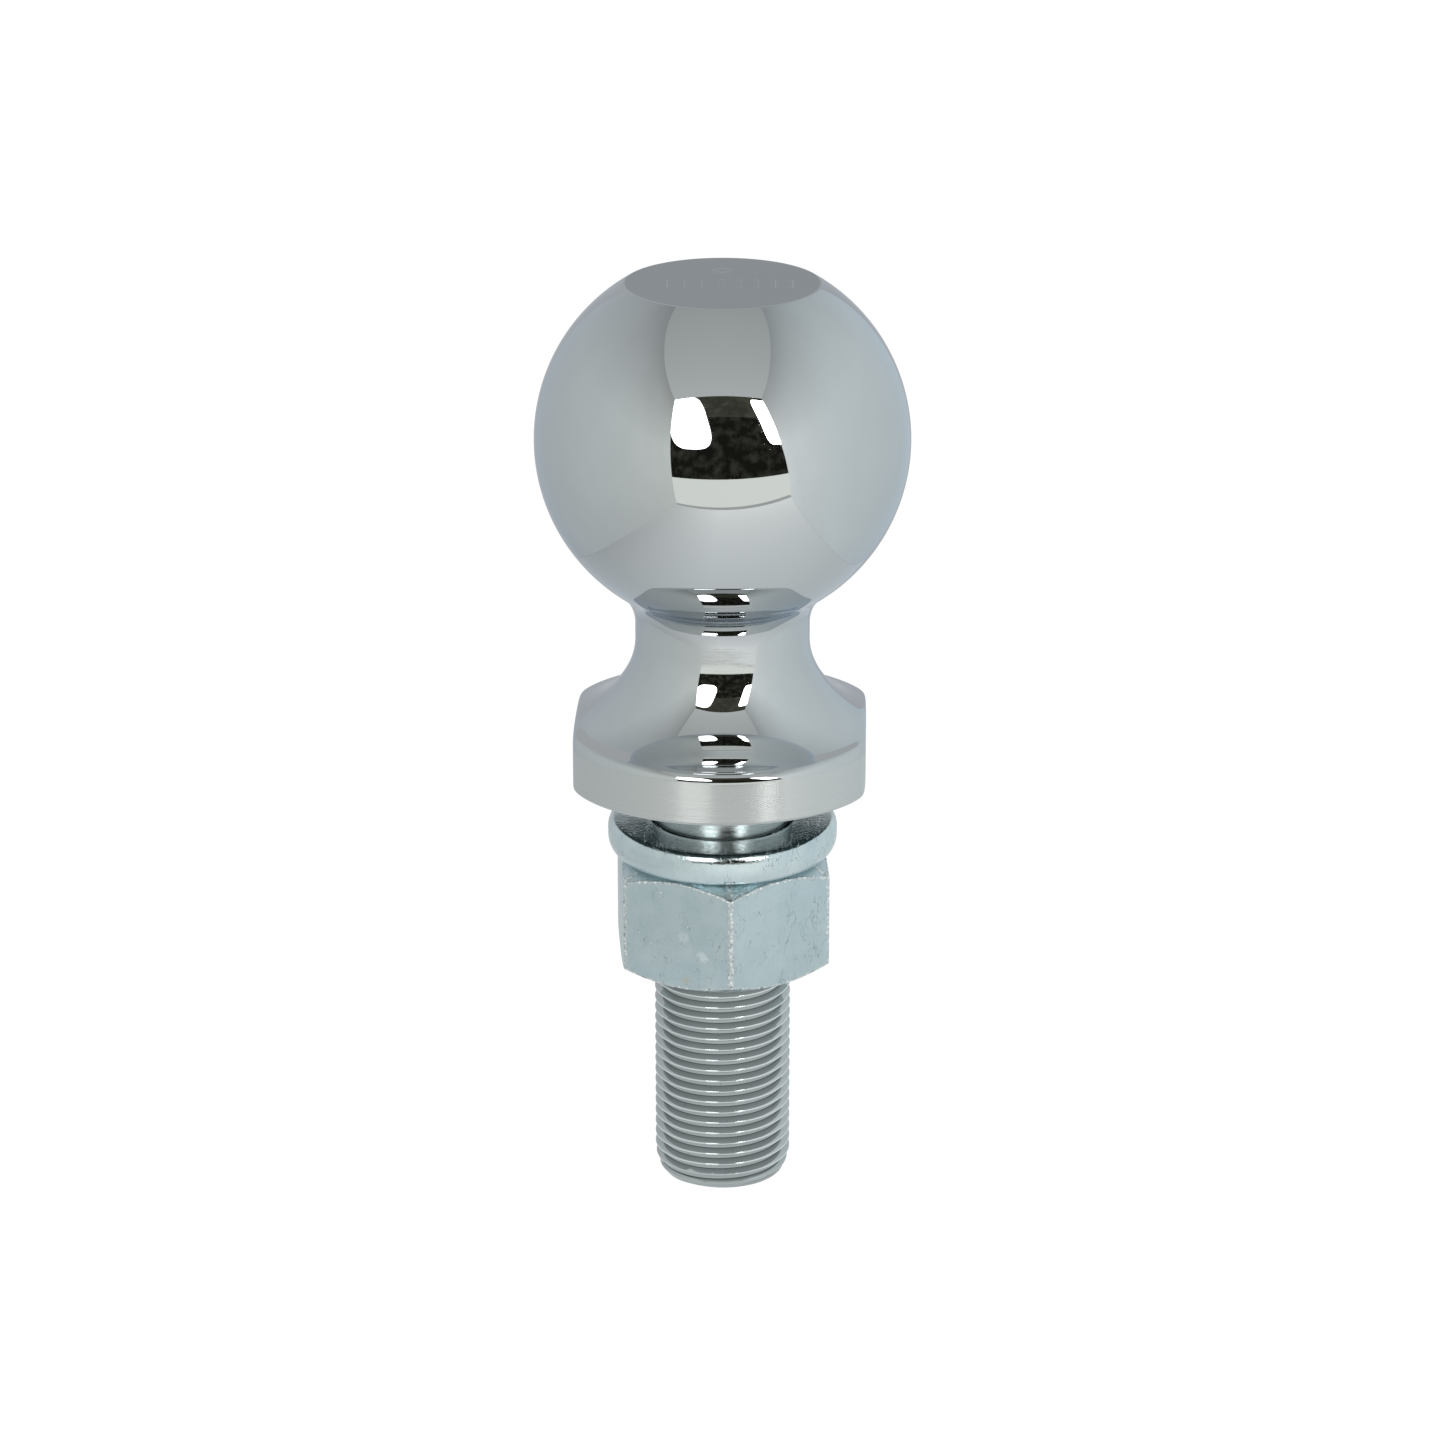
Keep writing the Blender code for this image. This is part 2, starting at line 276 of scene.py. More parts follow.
def chrome_material():
    """Mirror chrome: a trace of haze, very fine pits and a long, very low polishing wave."""
    n = Nodes("chrome_mirror")
    haze = n.noise(180.0, 4.0, 0.6)
    roughness = n.span(haze, 0.3, 0.75, 0.012, 0.034)
    tone = n.noise(45.0, 2.0)
    colour = n.mix(tone, (0.575, 0.592, 0.596), (0.622, 0.636, 0.640))
    wave = n.noise(70.0, 2.0, 0.4)
    pits = n.span(n.cells(2600.0), 0.02, 0.07)
    normal = n.bump(wave, 0.00002, 0.35)
    normal = n.bump(pits, 0.000004, 0.25, normal)

    # The lower neck keeps faint level lines from turning.
    z = n.split()[2]
    low, high = NECK_LINES
    neck = n.math(
        "MULTIPLY",
        n.span(z, (low - NECK_LINES_FADE) * MM, low * MM),
        n.span(z, high * MM, (high + NECK_LINES_FADE) * MM, 1.0, 0.0),
    )
    lines = n.level_lines(70.0, 3600.0)
    roughness = n.math("ADD", roughness, n.math("MULTIPLY", neck, 0.05))
    normal = n.bump(n.math("MULTIPLY", neck, lines), 0.00001, 0.8, normal)
    normal = n.bump(crown_marks(n), 0.00008, 0.7, normal)
    return n.metal(colour, roughness, normal, edge=(0.88, 0.915, 0.965))


def crown_marks(n):
    """A plain row of short bars across the crown and a ring behind it, as a shallow stamp."""
    x, y, z = n.split()

    def near(value, middle, reach, fade):
        """1 within reach of the middle, falling to 0 over fade."""
        away = n.math("ABSOLUTE", n.math("SUBTRACT", value, middle))
        return n.span(away, reach, reach + fade, 1.0, 0.0)

    half = (BARS_RIGHT - BARS_LEFT) / 2 * MM
    from_left = n.math("SUBTRACT", x, BARS_LEFT * MM)
    phase = n.math("FRACT", n.math("DIVIDE", from_left, BAR_PITCH * MM))
    bars = near(phase, 0.5, 0.10, 0.07)
    bars = n.math("MULTIPLY", bars, near(from_left, half, half - 0.02 * MM, 0.02 * MM))
    bars = n.math("MULTIPLY", bars, near(y, BARS_Y * MM, BARS_HALF_LENGTH * MM, 0.2 * MM))

    away = n.hypot(x, n.math("SUBTRACT", y, RING_Y * MM))
    ring = near(away, RING_RADIUS * MM, RING_HALF_WIDTH * MM, 0.15 * MM)
    marks = n.math("MAXIMUM", bars, ring)
    on_crown = n.span(z, (CROWN_TOP - 0.1) * MM, (CROWN_TOP - 0.05) * MM)
    return n.math("MULTIPLY", marks, on_crown)


def satin_material():
    """The collar's turned edge: fine level tool lines, which spread highlights up and down."""
    n = Nodes("chrome_satin_edge")
    z = n.split()[2]
    ridges = n.math("SINE", n.math("MULTIPLY", z, 2 * math.pi / (0.33 * MM)))
    lines = n.level_lines(7.0, 5200.0)
    height = n.math("ADD", n.math("MULTIPLY", ridges, 0.35), lines)
    colour = n.mix(lines, (0.60, 0.61, 0.605), (0.70, 0.71, 0.695))
    roughness = n.span(lines, 0.3, 0.7, 0.25, 0.28)
    return n.metal(colour, roughness, n.bump(height, 0.000008, 0.6), 1.0)


def seat_material():
    """The collar's underside, darkened as painted shade, and the dull plain shank, with drag lines
    round the axis.
    """
    n = Nodes("chrome_dull_shank_shaded_seat")
    x, y, _ = n.split()
    shank = n.span(n.hypot(x, y), (PLAIN_RADIUS + 0.2) * MM, (PLAIN_RADIUS + 0.5) * MM, 1.0, 0.0)
    drag = n.level_lines(160.0, 5200.0)
    pale = n.mix(drag, (0.40, 0.43, 0.43), (0.58, 0.60, 0.59))
    # Painted shade: the seat's colour is near black for the shade in the gap over the washer. The
    # dark edge tint dims glancing reflections on the seat and the shank.
    dark = n.mix(drag, (0.026, 0.040, 0.041), (0.070, 0.090, 0.092))
    roughness = n.span(drag, 0.3, 0.7, 0.20, 0.32)
    normal = n.bump(drag, 0.00001, 0.5)
    return n.metal(n.mix(shank, dark, pale), roughness, normal, edge=(0.3, 0.34, 0.35))


def thread_material():
    """The shank's plating over cut threads, rougher in the roots: its colour darkens into the
    roots and on the lower flanks as painted shade, and brightens on the crests as a painted
    highlight.
    """
    n = Nodes("chrome_thread")
    x, y, _ = n.split()
    height = n.span(n.hypot(x, y), (THREAD_MAJOR - THREAD_DEPTH) * MM, THREAD_MAJOR * MM)
    drag = n.level_lines(300.0, 2200.0)
    tone = n.noise(130.0, 3.0, 0.55)
    # Painted shade: the colour darkens from the crests down into the roots.
    colour = n.mix(height, (0.48, 0.505, 0.50), (0.64, 0.66, 0.66))
    colour = n.mix(n.span(tone, 0.35, 0.65, 0.0, 0.16), colour, (0.36, 0.39, 0.385))
    specks = n.span(n.cells(1300.0), 0.05, 0.14, 1.0, 0.0)
    chosen = n.span(n.noise(260.0, 2.0), 0.57, 0.62)
    colour = n.mix(n.math("MULTIPLY", specks, chosen), colour, (0.05, 0.05, 0.055))

    # Painted shade darkens the downward-facing lower flanks and the foot of the upper ones. A
    # painted highlight brightens the crests.
    up = n.split(n.add("ShaderNodeNewGeometry").outputs["Normal"])[2]
    lower_flank_shade = n.span(up, -0.75, -0.35, 0.30, 0.0)
    root_shade = n.math("MULTIPLY", n.span(height, 0.06, 0.17, 1.0, 0.0), n.span(up, 0.35, 0.75))
    colour = n.mix(n.math("MAXIMUM", lower_flank_shade, root_shade), colour, (0.20, 0.215, 0.215))
    colour = n.mix(n.span(height, 0.93, 0.99), colour, (0.82, 0.84, 0.84))
    gloss = n.span(height, 0.0, 1.0, 0.075, 0.045)
    roughness = n.math("ADD", gloss, n.math("MULTIPLY", drag, 0.03))
    return n.metal(colour, roughness, n.bump(drag, 0.000006, 0.35))


def nut_wear(n):
    """How worn the nut's surface is, from 0 to 1: its corners and the edges of its chamfers."""
    x, y, z = n.split()
    across = []
    for turn in (0, 60, 120):
        angle = NUT_TURN + math.radians(turn)
        along_x = n.math("MULTIPLY", x, math.cos(angle))
        along_y = n.math("MULTIPLY", y, math.sin(angle))
        across.append(n.math("ABSOLUTE", n.math("ADD", along_x, along_y)))
    a, b, c = across
    most = n.math("MAXIMUM", n.math("MAXIMUM", a, b), c)
    least = n.math("MINIMUM", n.math("MINIMUM", a, b), c)
    total = n.math("ADD", n.math("ADD", a, b), c)
    second = n.math("SUBTRACT", n.math("SUBTRACT", total, most), least)
    from_corner = n.math("SUBTRACT", most, second)

    past_face = n.math("SUBTRACT", n.hypot(x, y), NUT_FACE * MM)
    drop = n.math("MULTIPLY", past_face, NUT_CHAMFER_SLOPE)
    under_top = n.math("SUBTRACT", n.math("SUBTRACT", NUT_TOP * MM, drop), z)
    over_bottom = n.math("SUBTRACT", n.math("SUBTRACT", z, NUT_BOTTOM * MM), drop)
    from_cone = n.math("ABSOLUTE", n.math("MINIMUM", under_top, over_bottom))
    from_arc = n.math("ADD", from_cone, n.math("SUBTRACT", NUT_FLATS / 2 * MM, most))

    ragged = n.math("MULTIPLY", n.math("SUBTRACT", n.noise(900.0, 3.0, 0.6), 0.5), 0.75 * MM)
    corner = n.span(n.math("ADD", from_corner, ragged), 0.30 * MM, 0.42 * MM, 1.0, 0.0)
    edge = n.span(n.math("ADD", from_arc, ragged), 0.16 * MM, 0.30 * MM, 1.0, 0.0)
    return n.math("MAXIMUM", corner, edge)


def zinc(name, pale, deep, gloss, dull, grain, scratches, spots=(), wear=None):
    """Zinc plating: a cool mottled tone, fine grain, short scratches and a few spots.

    gloss and dull are its least and greatest roughness, grain the depth of its grain in metres.
    Each spot is (colour, place, radius, amount). wear makes the share of the surface that is worn.
    """
    n = Nodes(name)
    mottle = n.noise(260.0, 4.0, 0.6)
    fine = n.noise(2400.0, 3.0, 0.65)
    colour = n.mix(n.span(mottle, 0.32, 0.70), deep, pale)

    # Scratches: thin zero crossings of stretched noises, each kept in a few places only.
    scratch = 0.0
    for turn, scale in (
        ((0.5, 0.7, 0.4), 210.0),
        ((1.3, -0.6, 1.1), 250.0),
        ((-0.4, 0.2, 2.3), 300.0),
    ):
        slanted = n.add("ShaderNodeMapping")
        n.feed(slanted.inputs["Vector"], n.coords)
        slanted.inputs["Rotation"].default_value = turn
        slanted.inputs["Scale"].default_value = (1100.0, 110.0, 420.0)
        wander = n.noise(1.0, 1.0, 0.4, vector=slanted.outputs[0])
        off = n.math("ABSOLUTE", n.math("SUBTRACT", wander, 0.5))
        thin = n.span(off, 0.0, 0.010, scratches, 0.0)
        kept = n.span(n.noise(scale, 1.0), 0.57, 0.61)
        scratch = n.math("MAXIMUM", scratch, n.math("MULTIPLY", thin, kept))
    colour = n.mix(scratch, colour, (0.20, 0.25, 0.26))
    # Fine noise makes a spot's edge ragged. It adds 0.85 mm on average, so the limits do too.
    for spot_colour, place, radius, amount in spots:
        away = n.add("ShaderNodeVectorMath", operation="DISTANCE")
        n.feed(away.inputs[0], n.coords)
        away.inputs[1].default_value = [v * MM for v in place]
        ragged = n.math("ADD", away.outputs["Value"], n.math("MULTIPLY", fine, 0.0017))
        patch = n.span(ragged, (radius + 0.65) * MM, (radius + 0.95) * MM, amount, 0.0)
        colour = n.mix(patch, colour, spot_colour)

    roughness = n.span(mottle, 0.3, 0.7, gloss, dull)
    roughness = n.math("ADD", roughness, n.math("MULTIPLY", scratch, 0.15))
    height = n.math("SUBTRACT", fine, n.math("MULTIPLY", scratch, 1.5))
    normal = n.bump(height, grain, 0.5)
    if wear:
        # Knocks break the plating up into bright specks and small dark gaps.
        worn = wear(n)
        bright = n.span(n.cells(1700.0), 0.20, 0.50, 1.0, 0.0)
        gap = n.span(n.noise(1300.0, 3.0, 0.7), 0.58, 0.64, 0.0, 0.8)
        knocked = n.mix(bright, (0.60, 0.65, 0.66), (0.97, 0.97, 0.95))
        knocked = n.mix(gap, knocked, (0.17, 0.18, 0.19))
        colour = n.mix(worn, colour, knocked)
        rough = n.noise(1500.0, 4.0, 0.7)
        change = n.math("MULTIPLY", worn, n.span(rough, 0.3, 0.7, -0.08, 0.16))
        roughness = n.math("ADD", roughness, change)
        normal = n.bump(n.math("MULTIPLY", worn, rough), 0.00009, 0.8, normal)
    return n.metal(colour, roughness, normal)


def emitter(name, colour, strength, mottle=0.0):
    """A surface that gives an even light. With a mottle, patches are brighter by that share."""
    n = Nodes(name)
    patches = n.span(n.noise(5.0, 4.0, 0.6), 0.45, 0.65, 1.0, 1.0 + mottle)
    return n.glow(colour, n.math("MULTIPLY", patches, strength))


def graded_emitter(name, span, front, back, left=1.0):
    """A level light surface that changes from front to back, and dims toward its left.

    span is two values of y in mm. front and back are each (colour, strength).
    """
    n = Nodes(name)
    x, y, _ = n.split()
    share = n.span(y, span[0] * MM, span[1] * MM)
    side = n.span(x, -110 * MM, -10 * MM, left, 1.0)
    graded = n.span(share, 0.0, 1.0, front[1], back[1])
    return n.glow(n.mix(share, front[0], back[0]), n.math("MULTIPLY", graded, side))


def tent_material(name, front, back, bottom_end, top_end):
    """Tent cloth: it changes from front to back and dims toward its bottom and its top.

    front and back are each (colour, strength). The ends are shares of that strength.
    """
    n = Nodes(name)
    _, y, z = n.split()
    depth = n.span(y, TENT_ENTRY * MM, 120 * MM)
    colour = n.mix(depth, front[0], back[0])
    strength = n.span(depth, 0.0, 1.0, front[1], back[1])
    low = n.span(z, 0.0, 130 * MM, bottom_end, 1.0)
    high = n.span(z, 150 * MM, TENT_HEIGHT * MM, 1.0, top_end)
    cloth = n.span(n.noise(14.0, 3.0), 0.25, 0.75, 0.97, 1.03)
    for factor in (low, high, cloth):
        strength = n.math("MULTIPLY", strength, factor)
    return n.glow(colour, strength)


def rear_material():
    """The tent's rear: dim in the middle, where the crown mirrors it, and brighter round that."""
    n = Nodes("tent_rear")
    x, _, z = n.split()
    middle = n.span(n.math("ABSOLUTE", x), 17 * MM, 37 * MM, 1.0, 0.0)
    middle = n.math("MULTIPLY", middle, n.span(z, 90 * MM, 155 * MM))
    middle = n.math("MULTIPLY", middle, n.span(z, 210 * MM, 280 * MM, 1.0, 0.0))
    return n.glow((0.96, 0.985, 1.005), n.span(middle, 0.0, 1.0, 0.55, 0.415))


# ---------------------------------------------------------------- mesh helpers


def make_object(name, vertices, faces, materials, indices=None, smooth=True):
    """An object from vertices in millimetres."""
    mesh = bpy.data.meshes.new(name)
    mesh.from_pydata([(x * MM, y * MM, z * MM) for x, y, z in vertices], [], faces)
    for material in materials:
        mesh.materials.append(material)
    if indices:
        mesh.polygons.foreach_set("material_index", indices)
    mesh.validate()
    if smooth:
        mesh.shade_smooth()
    obj = bpy.data.objects.new(name, mesh)
    bpy.context.scene.collection.objects.link(obj)
    return obj


@contextlib.contextmanager
def editing(obj):
    """An object's mesh as a bmesh, written back at the end."""
    work = bmesh.new()
    work.from_mesh(obj.data)
    yield work
    work.to_mesh(obj.data)
    work.free()


def arc(radius, height, bend, start, end, count, rise=None):
    """Points on an arc about (radius, height), between two angles in degrees.

    Its radius is bend, or on an ellipse bend is its half width and rise its half height.
    """
    rise = bend if rise is None else rise
    points = []
    for i in range(count + 1):
        angle = math.radians(start + (end - start) * i / count)
        points.append((radius + bend * math.cos(angle), height + rise * math.sin(angle)))
    return points


def line(a, b, count):
    """Points from a to b, without a itself."""
    return [
        (a[0] + (b[0] - a[0]) * i / count, a[1] + (b[1] - a[1]) * i / count)
        for i in range(1, count + 1)
    ]


def soft_limit(value, limit, width):
    """value, held at limit with a round corner of that width."""
    over = value - limit
    return limit + 0.5 * (over - math.sqrt(over * over + width * width))


# ---------------------------------------------------------------- ball and collar


def ball_profile():
    """Outline from the crown down to the plain shank, with the surface that each step is on."""
    crown = CROWN_TOP - BALL_CENTRE
    inner = BALL_RADIUS - CROWN_ROUND
    crown_angle = math.degrees(math.asin((crown - CROWN_ROUND) / inner))
    crown_flat = inner * math.cos(math.radians(crown_angle))
    fillet_radius = NECK_RADIUS + UPPER_FILLET
    fillet_drop = math.sqrt((BALL_RADIUS + UPPER_FILLET) ** 2 - fillet_radius**2)
    fillet_angle = math.degrees(math.atan2(fillet_drop, fillet_radius))

    points = line((0.0, crown), (crown_flat, crown), CROWN_STEPS)
    points += arc(crown_flat, crown - CROWN_ROUND, CROWN_ROUND, 90, crown_angle, 8)[1:]
    points += arc(0.0, 0.0, BALL_RADIUS, crown_angle, -fillet_angle, 96)[1:]
    points += arc(fillet_radius, -fillet_drop, UPPER_FILLET, 180 - fillet_angle, 180, 16)[1:]
    points += line(points[-1], (NECK_RADIUS, -COLLAR_TOP_DROP), 3)

    # Two hollow arcs run from the neck to the rim. The rim's round touches the outer one.
    inner_radius = NECK_RADIUS + COLLAR_INNER_BEND
    turn = math.radians(COLLAR_INNER_TURN)
    growth = COLLAR_OUTER_BEND - COLLAR_INNER_BEND
    outer_radius = inner_radius + growth * math.cos(turn)
    outer_height = growth * math.sin(turn) - COLLAR_TOP_DROP
    reach = COLLAR_OUTER_BEND + COLLAR_RIM_ROUND
    rim_radius = COLLAR_RADIUS - COLLAR_RIM_ROUND
    touch = math.degrees(math.acos((outer_radius - rim_radius) / reach))
    rim_height = outer_height - reach * math.sin(math.radians(touch))
    break_angle = 180 + COLLAR_INNER_TURN
    points += arc(inner_radius, -COLLAR_TOP_DROP, COLLAR_INNER_BEND, 180, break_angle, 10)[1:]
    points += arc(
        outer_radius, outer_height, COLLAR_OUTER_BEND, break_angle, 180 + touch, 26
    )[1:]
    points += arc(rim_radius, rim_height, COLLAR_RIM_ROUND, touch, 0, 9)[1:]
    satin_start = len(points) - 1

    seat = SHANK_LENGTH - BALL_CENTRE
    points += line(points[-1], (COLLAR_RADIUS, seat + COLLAR_SEAT_CHAMFER), 8)
    points += line(points[-1], (COLLAR_RADIUS - COLLAR_SEAT_CHAMFER, seat), 2)
    satin_end = len(points) - 1
    points += line(points[-1], (PLAIN_RADIUS + SEAT_FILLET, seat), 6)
    points += line(points[-1], (PLAIN_RADIUS, seat - SEAT_FILLET), 2)
    points += line(points[-1], (PLAIN_RADIUS, PLAIN_BOTTOM - BALL_CENTRE), 5)
    outline = [(r, z + BALL_CENTRE) for r, z in points]
    return outline, satin_start, satin_end


def ball_angles():
    """Angles round the ball, closer together where the collar's flats meet its round edge."""
    corners = []
    for reach, middle in ((FLAT_RIGHT, FLATS_TURN), (FLAT_LEFT, FLATS_TURN + math.pi)):
        half = math.acos(reach / COLLAR_RADIUS)
        corners += [middle - half, middle + half]
    # Of fine steps round the circle, one in five is kept, and four in five at the corners.
    angles = []
    count = 1440
    need = 0.0
    for i in range(count):
        angle = 2 * math.pi * i / count
        near = min(abs(math.remainder(angle - corner, 2 * math.pi)) for corner in corners)
        need += 0.21 + 0.60 * math.exp(-((near / 0.045) ** 2))
        if need >= 1.0:
            angles.append(angle)
            need -= 1.0
    return angles


def collar_point(radius, angle):
    """(x, y) of a point on the collar, held within its two flats."""
    turned = angle - FLATS_TURN
    u, v = radius * math.cos(turned), radius * math.sin(turned)
    if u > 0:
        u = soft_limit(u, FLAT_RIGHT, FLAT_ROUND)
    else:
        u = -soft_limit(-u, FLAT_LEFT, FLAT_ROUND)
    cosine, sine = math.cos(FLATS_TURN), math.sin(FLATS_TURN)
    return u * cosine - v * sine, u * sine + v * cosine


def build_ball(chrome, satin, seat):
    outline, satin_start, satin_end = ball_profile()
    angles = ball_angles()
    count = len(angles)
    vertices = [(0.0, 0.0, CROWN_TOP)]
    for radius, height in outline:
        below_neck = height < BALL_CENTRE - COLLAR_TOP_DROP
        for angle in angles:
            if below_neck and radius > FLATS_INSIDE:
                x, y = collar_point(radius, angle)
            else:
                x, y = radius * math.cos(angle), radius * math.sin(angle)
            vertices.append((x, y, height))
    faces, indices = [], []
    for j in range(count):
        faces.append((0, 1 + j, 1 + (j + 1) % count))
        indices.append(0)
    for i in range(len(outline) - 1):
        surface = 0 if i < satin_start else 1 if i < satin_end else 2
        for j in range(count):
            k = (j + 1) % count
            a, b = 1 + i * count, 1 + (i + 1) * count
            faces.append((a + j, b + j, b + k, a + k))
            indices.append(surface)
    last = 1 + (len(outline) - 1) * count
    vertices.append((0.0, 0.0, PLAIN_BOTTOM))
    end = len(vertices) - 1
    for j in range(count):
        faces.append((last + (j + 1) % count, last + j, end))
        indices.append(0)
    obj = make_object("ball_and_collar", vertices, faces, [chrome, satin, seat], indices)
    obj.data.set_sharp_from_angle(angle=math.radians(38))
    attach(obj, "ball")
    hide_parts("hitch_ball")


# ---------------------------------------------------------------- threaded shank


def thread_section(crest, root, fine):
    """(along, radius) through one pitch, from the middle of one crest to just before the next."""
    half_flat = THREAD_FLAT / 2
    flank_end = half_flat + (crest - root) * FLANK_SLOPE
    # The crest's edge is an arc that touches the crest and the flank, which are 60 degrees apart.
    # Points close to its ends and to the root keep the shading of the faces between them flat.
    bend = 0.10 if fine else 0.04
    steps = 5 if fine else 2
    margin = 0.012
    bend_start = half_flat - bend * FLANK_SLOPE
    points = [(0.0, crest), (bend_start - margin, crest)]
    for i in range(steps + 1):
        angle = math.radians(60 * i / steps)
        along = bend_start + bend * math.sin(angle)
        points.append((along, crest - bend + bend * math.cos(angle)))
    for along in (points[-1][0] + margin, flank_end - margin, flank_end):
        points.append((along, crest - (along - half_flat) / FLANK_SLOPE))
    mirrored = [(PITCH - along, radius) for along, radius in reversed(points[1:])]
    return points + mirrored


def helical_grid(section, low, high, shape):
    """Vertices and faces of a thread cut off level at low and high. shape trims the radius."""
    columns = THREAD_COLUMNS
    size = len(section)
    turns = math.ceil((high - low) / PITCH) + 4
    first = math.floor((low - CREST_AT_X) / PITCH) - 2
    base = CREST_AT_X + first * PITCH
    rows = turns * size
    vertices, faces = [], []
    for k in range(rows):
        along, radius = section[k % size]
        for j in range(columns):
            height = base + (k // size) * PITCH + along + PITCH * j / columns
            height = min(max(height, low), high)
            r = shape(radius, height)
            angle = 2 * math.pi * j / columns
            vertices.append((r * math.cos(angle), r * math.sin(angle), height))
    for k in range(rows - 1):
        for j in range(columns):
            here = k * columns + j
            if j + 1 < columns:
                there = here + 1
            elif k + 1 + size < rows:
                # The last column joins the first of the next turn.
                there = (k + size) * columns
            else:
                continue
            faces.append((here, there, there + columns, here + columns))
    return vertices, faces


def cap_ends(obj):
    """Joins points that meet, drops flat slivers and closes the open ends."""
    gap = 0.0006 * MM
    with editing(obj) as work:
        bmesh.ops.remove_doubles(work, verts=work.verts, dist=gap)
        bmesh.ops.dissolve_degenerate(work, dist=gap, edges=work.edges)
        loose = [v for v in work.verts if not v.link_faces]
        bmesh.ops.delete(work, geom=loose, context="VERTS")
        bmesh.ops.holes_fill(work, edges=[e for e in work.edges if e.is_boundary], sides=0)
        bmesh.ops.recalc_face_normals(work, faces=work.faces)
        open_edges = sum(1 for e in work.edges if not e.is_manifold)
    if open_edges:
        print(f"{obj.name}: {open_edges} open edges")


def end_limit(height):
    """The largest radius near the shank's tip, where its end is tapered and rounded."""
    for (z0, r0), (z1, r1) in zip(END_TAPER, END_TAPER[1:]):
        if height <= z1:
            return r0 + (r1 - r0) * (height - z0) / (z1 - z0)
    return math.inf


def build_thread(material):
    def shape(radius, height):
        depth_share = min(1.0, max(0.0, (PLAIN_BOTTOM - height) / THREAD_RUNOUT))
        radius = THREAD_MAJOR - (THREAD_MAJOR - radius) * depth_share
        return min(radius, end_limit(height), PLAIN_RADIUS - THREAD_INSET)

    section = thread_section(THREAD_MAJOR, THREAD_MAJOR - THREAD_DEPTH, fine=True)
    vertices, faces = helical_grid(section, 0.0, PLAIN_BOTTOM + THREAD_OVERLAP, shape)
    obj = make_object("threaded_shank", vertices, faces, [material])
    cap_ends(obj)
    obj.data.set_sharp_from_angle(angle=math.radians(25))
    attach(obj, "ball")
    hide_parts("hitch_ball")


# ---------------------------------------------------------------- washer


def build_washer(material):
    top, bottom = WASHER_TOP, WASHER_BOTTOM
    upper_width, upper_height = WASHER_UPPER_ROUND
    lower_width, lower_height = WASHER_LOWER_ROUND
    flat_edge = WASHER_OUTER - upper_width
    lower_edge = WASHER_OUTER - lower_width
    hole_round = WASHER_HOLE_ROUND
    inner_edge = WASHER_HOLE + hole_round
    section = [(inner_edge, top)] + line((inner_edge, top), (flat_edge, top), 6)
    section += arc(flat_edge, top - upper_height, upper_width, 90, 0, 14, upper_height)[1:]
    section += line(section[-1], (WASHER_OUTER, bottom + lower_height), 3)
    section += arc(lower_edge, bottom + lower_height, lower_width, 0, -90, 14, lower_height)[1:]
    section += line(section[-1], (inner_edge, bottom), 6)
    section += arc(inner_edge, bottom + hole_round, hole_round, 270, 180, 4)[1:]
    section += line(section[-1], (WASHER_HOLE, top - hole_round), 3)
    section += arc(inner_edge, top - hole_round, hole_round, 180, 90, 4)[1:-1]

    steps = 220
    middle = (top + bottom) / 2
    vertices, faces = [], []
    for i in range(steps + 1):
        share = i / steps
        for radius, height in section:
            # The split leans, so each end of the ring is cut along a slanted plane.
            offset = (height - middle) * math.tan(SPLIT_LEAN)
            start = SPLIT_ANGLE + (SPLIT_WIDTH / 2 - offset) / radius
            stop = SPLIT_ANGLE + 2 * math.pi - (SPLIT_WIDTH / 2 + offset) / radius
            angle = start + (stop - start) * share
            vertices.append((radius * math.cos(angle), radius * math.sin(angle), height))
    size = len(section)
    for i in range(steps):
        for j in range(size):
            m = (j + 1) % size
            a, b = i * size, (i + 1) * size
            faces.append((a + j, a + m, b + m, b + j))
    faces.append(tuple(range(size)))
    faces.append(tuple(reversed(range(steps * size, (steps + 1) * size))))
    obj = make_object("washer_ring", vertices, faces, [material])
    with editing(obj) as work:
        bmesh.ops.recalc_face_normals(work, faces=work.faces)
    obj.data.set_sharp_from_angle(angle=math.radians(32))
    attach(obj, "washer")
    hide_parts("lock_washer")


# ---------------------------------------------------------------- nut


def revolve(name, outline, steps):
    """A closed solid turned about Z from an outline whose ends are on the axis."""
    vertices = [(0.0, 0.0, outline[0][1])]
    for radius, height in outline[1:-1]:
        for j in range(steps):
            angle = 2 * math.pi * j / steps
            vertices.append((radius * math.cos(angle), radius * math.sin(angle), height))
    vertices.append((0.0, 0.0, outline[-1][1]))
    faces = []
    rings = len(outline) - 2
    for j in range(steps):
        m = (j + 1) % steps
        faces.append((0, 1 + j, 1 + m))
        for i in range(rings - 1):
            a, b = 1 + i * steps, 1 + (i + 1) * steps
            faces.append((a + j, b + j, b + m, a + m))
        last = 1 + (rings - 1) * steps
        faces.append((last + m, last + j, len(vertices) - 1))
    return make_object(name, vertices, faces, [], smooth=False)


def tap_rod():
    """The cutter for the nut's thread: the shank's with a running clearance, ends countersunk."""

    def shape(radius, height):
        from_end = max(0.0, min(NUT_TOP - height, height - NUT_BOTTOM))
        return max(radius, NUT_COUNTERSINK - from_end / NUT_CHAMFER_SLOPE)

    section = thread_section(THREAD_MAJOR + THREAD_CLEARANCE, NUT_BORE, fine=False)
    low, high = NUT_BOTTOM - CUTTER_MARGIN, NUT_TOP + CUTTER_MARGIN
    vertices, faces = helical_grid(section, low, high, shape)
    obj = make_object("nut_tap", vertices, faces, [], smooth=False)
    cap_ends(obj)
    return obj


